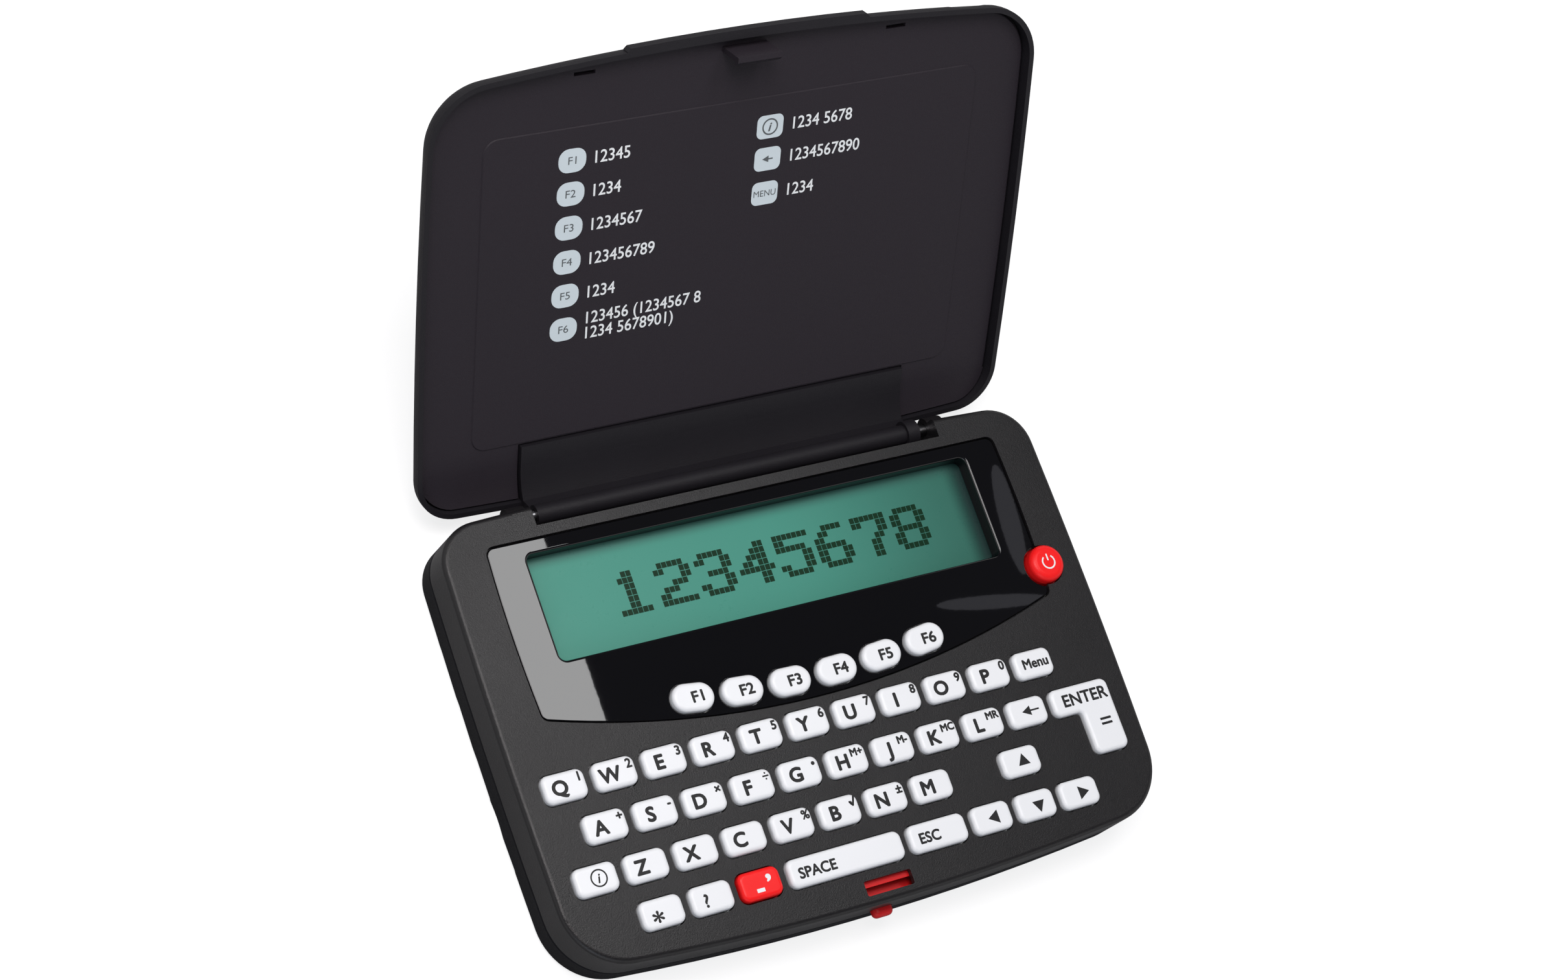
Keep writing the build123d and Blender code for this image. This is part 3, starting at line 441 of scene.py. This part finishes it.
def newPiece(name, mesh, finish, body):
    mesh.materials.clear()
    mesh.materials.append(finishes[finish])
    piece = bpy.data.objects.new(name, mesh)
    scene.collection.objects.link(piece)
    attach(piece, body)


# key legends, in mm from the middle of each key's box
legendSettings = {
    "letterHeight": 2.55, "letterX": -1.1, "letterY": -0.1, "bold": 0.15, "squeeze": 1.04,
    "smallHeight": 1.6, "smallX": 2.95, "smallY": 1.2, "smallBold": 0.09,
    "pairHeight": 1.36, "pairX": 2.2, "wordBold": 0.09, "sink": 0.01,
}
letterKeys = {
    "q": "1", "w": "2", "e": "3", "r": "4", "t": "5", "y": "6", "u": "7", "i": "8", "o": "9", "p": "0",
    "a": "+", "s": "-", "d": "×", "f": "÷", "g": "•", "h": "M+", "j": "M-", "k": "MC",
    "l": "MR", "z": "", "x": "", "c": "", "v": "%", "b": "√", "n": "±", "m": "",
}
divideSign = {"width": 1.25, "stroke": 0.30, "lift": 0.56}
wordKeys = {
    "menu": {"text": "Menu", "height": 1.8, "centre": (0.35, 0.1), "squeeze": 0.98},
    "space": {"text": "SPACE", "height": 1.9, "centre": (-6.3, -0.2), "squeeze": 1.0},
    "escape": {"text": "ESC", "height": 1.9, "centre": (-2.0, -0.2), "squeeze": 1.0},
    "star": {"text": "*", "height": 3.2, "centre": (-1.15, -1.4), "squeeze": 1.1},
    "question": {"text": "?", "height": 2.3, "centre": (-1.25, -0.3), "squeeze": 1.0},
}
functionKey = {"height": 2.0, "centre": (0.7, -0.1), "squeeze": 1.1}
for number in range(1, 7):
    wordKeys["f%d" % number] = {"text": "F%d" % number, **functionKey}
enterKey = {"height": 2.25, "centre": (0.75, 4.35), "squeeze": 1.03, "bars": (3.4, -1.2),
            "bar": (2.4, 0.46), "lift": 0.48}
arrowKeys = {"centre": (0.5, -0.1), "size": 1.5,
             "headings": {"up": 90, "down": 270, "left": 180, "right": 0}}
backKey = {"centre": (0.6, 0.1), "length": 3.8, "head": 1.9, "shaft": 0.32}
infoKey = {"centre": (0.45, 0.1), "radius": 1.5}
hyphenKey = {"dash": (-0.45, -1.15, 1.6, 0.7), "height": 3.3, "centre": (1.7, 2.35), "bold": 0.14,
             "squeeze": 1.25}
powerSign = {"radius": 1.32, "stroke": 0.3, "gap": 38, "barY": 0.95, "barLength": 1.35}


def keyTop(node):
    low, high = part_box(node)
    centre = (Vector(low) + Vector(high)) / 2
    return Matrix.Translation((centre.x, centre.y, high[2] - legendSettings["sink"] * mm))


def addLegend(key, bm, finish="darkInk"):
    node = key if key == "power_button" else "key_" + key
    mesh = toMesh(bm, "legend_" + key, keyTop(node))
    newPiece("legend_" + key, mesh, finish, node)


def addDivideSign(bm, x, y, s):
    addPlate(bm, rectangle(x, y, s["width"], s["stroke"]))
    for dy in (s["lift"], -s["lift"]):
        addPlate(bm, rectangle(x, y + dy, s["stroke"], s["stroke"]))


def letterLegends(s):
    for key, small in letterKeys.items():
        bm = bmesh.new()
        addGlyphs(bm, key.upper(), s["letterHeight"], (s["letterX"], s["letterY"]), s["bold"], s["squeeze"])
        if small == "÷":
            addDivideSign(bm, s["smallX"], s["smallY"], divideSign)
        elif len(small) > 1:
            addGlyphs(bm, small, s["pairHeight"], (s["pairX"], s["smallY"]), s["smallBold"])
        elif small:
            addGlyphs(bm, small, s["smallHeight"], (s["smallX"], s["smallY"]), s["smallBold"])
        addLegend(key, bm)


def wordLegends(words, bold):
    for key, s in words.items():
        bm = bmesh.new()
        addGlyphs(bm, s["text"], s["height"], s["centre"], bold, s["squeeze"])
        addLegend(key, bm)


def enterLegend(s, bold):
    bm = bmesh.new()
    addGlyphs(bm, "ENTER", s["height"], s["centre"], bold, s["squeeze"])
    for dy in (s["lift"], -s["lift"]):
        addPlate(bm, rectangle(s["bars"][0], s["bars"][1] + dy, *s["bar"]))
    addLegend("enter", bm)


def arrowLegends(s):
    for key, heading in s["headings"].items():
        bm = bmesh.new()
        addPlate(bm, triangle(*s["centre"], s["size"], heading))
        addLegend(key, bm)


def backLegend(s):
    bm = bmesh.new()
    addBackArrow(bm, *s["centre"], s["length"], s["head"], s["shaft"])
    addLegend("back", bm)


def infoLegend(s):
    bm = bmesh.new()
    addInfoSign(bm, *s["centre"], s["radius"])
    addLegend("info", bm)


def hyphenLegend(s):
    bm = bmesh.new()
    addPlate(bm, rectangle(*s["dash"]))
    addGlyphs(bm, ",", s["height"], s["centre"], s["bold"], s["squeeze"])
    addLegend("hyphen", bm, "whiteInk")


def powerLegend(s):
    bm = bmesh.new()
    gap = math.radians(s["gap"])
    addRing(bm, (0, 0), s["radius"], s["stroke"], math.pi / 2 + gap, 2 * (math.pi - gap))
    addPlate(bm, rectangle(0, s["barY"], s["stroke"], s["barLength"]))
    addLegend("power_button", bm, "whiteInk")


letterLegends(legendSettings)
wordLegends(wordKeys, legendSettings["wordBold"])
enterLegend(enterKey, legendSettings["wordBold"])
arrowLegends(arrowKeys)
backLegend(backKey)
infoLegend(infoKey)
hyphenLegend(hyphenKey)
powerLegend(powerSign)
print("stage: key legends")


# rounded plates on points, for the display's dots and the pills printed in the lid
cornerSteps = 6
weldDistance = 0.000001


def platesOnPointsTree():
    tree = bpy.data.node_groups.new("platesOnPoints", "GeometryNodeTree")
    face = tree.interface
    face.new_socket("Points", in_out="INPUT", socket_type="NodeSocketGeometry")
    for label in ("Width", "Depth", "Corner radius", "Thickness"):
        face.new_socket(label, in_out="INPUT", socket_type="NodeSocketFloat")
    face.new_socket("Finish", in_out="INPUT", socket_type="NodeSocketMaterial")
    face.new_socket("Plates", in_out="OUTPUT", socket_type="NodeSocketGeometry")
    link = tree.links.new
    given = addNode(tree, "NodeGroupInput")
    result = addNode(tree, "NodeGroupOutput")
    outline = addNode(tree, "GeometryNodeCurvePrimitiveQuadrilateral")
    corners = addNode(tree, "GeometryNodeFilletCurve", mode="POLY", Count=cornerSteps)
    corners.inputs["Limit Radius"].default_value = True
    fill = addNode(tree, "GeometryNodeFillCurve", mode="NGONS")
    thick = addNode(tree, "GeometryNodeExtrudeMesh")
    thick.inputs["Individual"].default_value = False
    back = addNode(tree, "GeometryNodeFlipFaces")
    join = addNode(tree, "GeometryNodeJoinGeometry")
    weld = addNode(tree, "GeometryNodeMergeByDistance")
    weld.inputs["Distance"].default_value = weldDistance
    spread = addNode(tree, "GeometryNodeInstanceOnPoints")
    real = addNode(tree, "GeometryNodeRealizeInstances")
    paint = addNode(tree, "GeometryNodeSetMaterial")
    link(given.outputs["Width"], outline.inputs["Width"])
    link(given.outputs["Depth"], outline.inputs["Height"])
    link(outline.outputs["Curve"], corners.inputs["Curve"])
    link(given.outputs["Corner radius"], corners.inputs["Radius"])
    link(corners.outputs["Curve"], fill.inputs["Curve"])
    link(fill.outputs["Mesh"], thick.inputs["Mesh"])
    link(given.outputs["Thickness"], thick.inputs["Offset Scale"])
    link(fill.outputs["Mesh"], back.inputs["Mesh"])
    link(back.outputs["Mesh"], join.inputs["Geometry"])
    link(thick.outputs["Mesh"], join.inputs["Geometry"])
    link(join.outputs["Geometry"], weld.inputs["Geometry"])
    link(given.outputs["Points"], spread.inputs["Points"])
    link(weld.outputs["Geometry"], spread.inputs["Instance"])
    link(spread.outputs["Instances"], real.inputs["Geometry"])
    link(real.outputs["Geometry"], paint.inputs["Geometry"])
    link(given.outputs["Finish"], paint.inputs["Material"])
    link(paint.outputs["Geometry"], result.inputs["Plates"])
    return tree


platesTree = platesOnPointsTree()


def platesMesh(name, points, sizes, finish):
    base = bpy.data.meshes.new(name + "Points")
    base.from_pydata(points, [], [])
    holder = bpy.data.objects.new(name + "Points", base)
    scene.collection.objects.link(holder)
    modifier = holder.modifiers.new("plates", "NODES")
    modifier.node_group = platesTree
    for item in platesTree.interface.items_tree:
        if item.in_out == "INPUT" and item.name in sizes:
            modifier[item.identifier] = sizes[item.name]
        if item.in_out == "INPUT" and item.name == "Finish":
            modifier[item.identifier] = finishes[finish]
    bpy.context.view_layer.update()
    mesh = bpy.data.meshes.new_from_object(holder.evaluated_get(bpy.context.evaluated_depsgraph_get()))
    bpy.data.objects.remove(holder)
    mesh.name = name
    return mesh


# display characters, seven rows of dots each
displaySettings = {
    "text": "12345678", "start": (-31.4, 28.45), "pitch": 8.58, "column": 1.08, "row": 1.215,
    "dot": (0.98, 1.10), "corner": 0.04, "thickness": 0.02,
}
digitRows = {
    "1": "..##... .###... ..##... ..##... ..##... ..##... ######.",
    "2": ".#####. ##...## .....## ...###. .###... ##..... #######",
    "3": ".#####. ##...## .....## ..####. .....## ##...## .#####.",
    "4": "....##. ...###. ..####. .##.##. ####### ....##. ....##.",
    "5": "####### ##..... ######. .....## .....## ##...## .#####.",
    "6": "..####. .##.... ##..... ######. ##...## ##...## .#####.",
    "7": "####### ##...## .....## ....##. ...##.. ...##.. ...##..",
    "8": ".#####. ##...## ##...## .#####. ##...## ##...## .#####.",
}


def displayDots(s):
    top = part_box("lcd_module")[1][2] / mm
    points = []
    for k, digit in enumerate(s["text"]):
        for row, cells in enumerate(digitRows[digit].split()):
            for column, cell in enumerate(cells):
                if cell == "#":
                    x = s["start"][0] + k * s["pitch"] + (column + 0.5) * s["column"]
                    y = s["start"][1] - (row + 0.5) * s["row"]
                    points.append((x, y, top))
    sizes = {"Width": s["dot"][0], "Depth": s["dot"][1], "Corner radius": s["corner"],
             "Thickness": s["thickness"]}
    mesh = platesMesh("display_dots", points, sizes, "displayInk")
    mesh.transform(Matrix.Scale(mm, 4))
    newPiece("display_dots", mesh, "displayInk", "base")


displayDots(displaySettings)
print("stage: display")


# print inside the lid, placed as with the lid shut and then turned with it
lidPrint = {
    "face": 15.1, "pill": (5.5, 4.6), "leftCorner": 2.0, "rightCorner": 1.2, "thickness": 0.02,
    "leftX": -33.6, "leftY": (-24.15, -17.7, -11.05, -4.3, 2.4, 9.15), "leftText": -29.0,
    "rightX": 6.7, "rightY": (-24.45, -18.05, -11.2), "rightText": 11.6,
    "height": 2.3, "bold": 0.03, "squeeze": 0.92, "step": 3.05,
    "leftSign": 1.45, "leftSqueeze": 1.1, "infoRadius": 1.5, "arrow": (2.2, 1.3, 0.25), "menuSign": 1.2,
}
leftLines = [["12345"], ["1234"], ["1234567"], ["123456789"], ["1234"],
             ["123456 (1234567 8", "1234 5678901)"]]
rightLines = [["1234 5678"], ["1234567890"], ["1234"]]


def lidPlace():
    flip = Matrix(((1, 0, 0, 0), (0, -1, 0, 0), (0, 0, -1, 0), (0, 0, 0, 1)))
    return closedToRest @ Matrix.Translation((0, 0, lidPrint["face"] * mm)) @ flip


def lidPills(s):
    for side in ("left", "right"):
        places = [(s[side + "X"], -y, 0) for y in s[side + "Y"]]
        sizes = {"Width": s["pill"][0], "Depth": s["pill"][1], "Corner radius": s[side + "Corner"],
                 "Thickness": s["thickness"]}
        mesh = platesMesh("lid_pills_" + side, places, sizes, "pillInk")
        mesh.transform(lidPlace() @ Matrix.Scale(mm, 4))
        newPiece("lid_pills_" + side, mesh, "pillInk", "lid")


def lidWords(s):
    bm = bmesh.new()
    for side, entries in (("left", leftLines), ("right", rightLines)):
        for lines, y in zip(entries, s[side + "Y"]):
            first = -y + s["step"] * (len(lines) - 1) / 2
            for i, line in enumerate(lines):
                start = (s[side + "Text"], first - i * s["step"])
                addGlyphs(bm, line, s["height"], start, s["bold"], s["squeeze"], "LEFT", s["thickness"])
    newPiece("lid_lines", toMesh(bm, "lid_lines", lidPlace()), "whiteInk", "lid")


def lidPillSigns(s):
    bm = bmesh.new()
    for i, y in enumerate(s["leftY"]):
        addGlyphs(bm, "F%d" % (i + 1), s["leftSign"], (s["leftX"], -y), squeeze=s["leftSqueeze"],
                  rise=s["thickness"])
    infoY, backY, menuY = s["rightY"]
    addInfoSign(bm, s["rightX"], -infoY, s["infoRadius"])
    addBackArrow(bm, s["rightX"], -backY, *s["arrow"])
    addGlyphs(bm, "MENU", s["menuSign"], (s["rightX"], -menuY), rise=s["thickness"])
    place = lidPlace() @ Matrix.Translation((0, 0, s["thickness"] * mm))
    newPiece("lid_pill_signs", toMesh(bm, "lid_pill_signs", place), "greyInk", "lid")


lidPills(lidPrint)
lidWords(lidPrint)
lidPillSigns(lidPrint)
print("stage: lid print")


# studio: white floor, pale horizon under a dark ceiling, soft lamps
floorSettings = {
    "segments": 64, "radius": 6.0, "height": -0.0002, "colour": (0.30, 0.30, 0.30), "rough": 0.9,
    "level": 0.1, "glow": 0.78,
}
worldSettings = {
    "low": (0.25, (1, 1, 1)), "high": (0.60, (0.07, 0.07, 0.075)), "fill": (0.40, 0.41, 0.43),
}


def addFloor(s):
    bm = bmesh.new()
    bmesh.ops.create_circle(bm, cap_ends=True, segments=s["segments"], radius=s["radius"])
    mesh = bpy.data.meshes.new("studioFloor")
    bm.to_mesh(mesh)
    bm.free()
    floor = bpy.data.objects.new("studioFloor", mesh)
    floor.location.z = s["height"]
    scene.collection.objects.link(floor)
    material, tree, shader = newFinish("floorWhite")
    shader.inputs["Base Color"].default_value = (*s["colour"], 1)
    shader.inputs["Roughness"].default_value = s["rough"]
    shader.inputs["Specular IOR Level"].default_value = s["level"]
    path = addNode(tree, "ShaderNodeLightPath")
    glow = addNode(tree, "ShaderNodeMath", operation="MULTIPLY")
    glow.inputs[1].default_value = s["glow"]
    tree.links.new(path.outputs["Is Camera Ray"], glow.inputs[0])
    shader.inputs["Emission Color"].default_value = (1, 1, 1, 1)
    tree.links.new(glow.outputs[0], shader.inputs["Emission Strength"])
    mesh.materials.append(material)


def addWorld(s):
    world = bpy.data.worlds.new("studio")
    scene.world = world
    world.use_nodes = True
    tree = world.node_tree
    link = tree.links.new
    background = [node for node in tree.nodes if node.type == "BACKGROUND"][0]
    coords = addNode(tree, "ShaderNodeTexCoord")
    split = addNode(tree, "ShaderNodeSeparateXYZ")
    link(coords.outputs["Generated"], split.inputs["Vector"])
    ramp = addNode(tree, "ShaderNodeValToRGB")
    for element, (position, colour) in zip(ramp.color_ramp.elements, (s["low"], s["high"])):
        element.position = position
        element.color = (*colour, 1)
    link(split.outputs["Z"], ramp.inputs["Fac"])
    path = addNode(tree, "ShaderNodeLightPath")
    seen = addNode(tree, "ShaderNodeMath", operation="MAXIMUM")
    seenAll = addNode(tree, "ShaderNodeMath", operation="MAXIMUM")
    link(path.outputs["Is Camera Ray"], seen.inputs[0])
    link(path.outputs["Is Glossy Ray"], seen.inputs[1])
    link(seen.outputs[0], seenAll.inputs[0])
    link(path.outputs["Is Transmission Ray"], seenAll.inputs[1])
    mix = addNode(tree, "ShaderNodeMix", data_type="RGBA")
    mix.inputs["A"].default_value = (*s["fill"], 1)
    link(seenAll.outputs[0], mix.inputs["Factor"])
    link(ramp.outputs["Color"], mix.inputs["B"])
    link(mix.outputs["Result"], background.inputs["Color"])


# the cards and glints are parts of a bright window over the object: the surround mirrors the window on its
# left and two faint slivers of it on its right, and the matt case glows on its left
lamps = {
    "mainSoftbox": {"place": (-0.34, 0.30, 0.75), "target": (0, 0.02, 0), "size": (0.45, 0.45),
                    "power": 1.9},
    "frontFill": {"place": (-0.55, -0.75, 0.45), "target": (0, 0, 0.03), "size": (0.6, 0.5), "power": 1.2,
                  "colour": (0.75, 0.84, 1.0)},
    "mirrorCard": {"place": (0.138, 0.150, 0.558), "size": (0.15, 0.22), "power": 0.80},
    "sheenCard": {"place": (-0.16, 0.10, 0.558), "size": (0.20, 0.30), "power": 1.45,
                  "colour": (1, 0.93, 0.93)},
    "sideGlint": {"place": (0.403, 0.151, 0.558), "size": (0.0453, 0.0088), "power": 0.00062,
                  "colour": (0.9, 0.9, 1), "turn": -96.4, "shape": "ELLIPSE"},
    "lowGlint": {"place": (0.383, 0.121, 0.558), "size": (0.0490, 0.0056), "power": 0.00043,
                 "colour": (0.9, 0.9, 1), "turn": -8.8, "shape": "ELLIPSE"},
}


# a lamp without a target points straight down, and is turned about that line
def addSoftbox(name, s):
    data = bpy.data.lights.new(name, "AREA")
    data.shape = s.get("shape", "RECTANGLE")
    data.size = s["size"][0]
    data.size_y = s["size"][1]
    data.energy = s["power"]
    data.color = s.get("colour", (1, 1, 1))
    lamp = bpy.data.objects.new(name, data)
    lamp.location = s["place"]
    target = s.get("target", (s["place"][0], s["place"][1], 0))
    aim = Vector(target) - Vector(s["place"])
    lamp.rotation_euler = aim.to_track_quat("-Z", "Y").to_euler()
    lamp.rotation_euler.z += math.radians(s.get("turn", 0))
    scene.collection.objects.link(lamp)


addFloor(floorSettings)
addWorld(worldSettings)
for lampName, lampSettings in lamps.items():
    addSoftbox(lampName, lampSettings)
print("stage: studio")
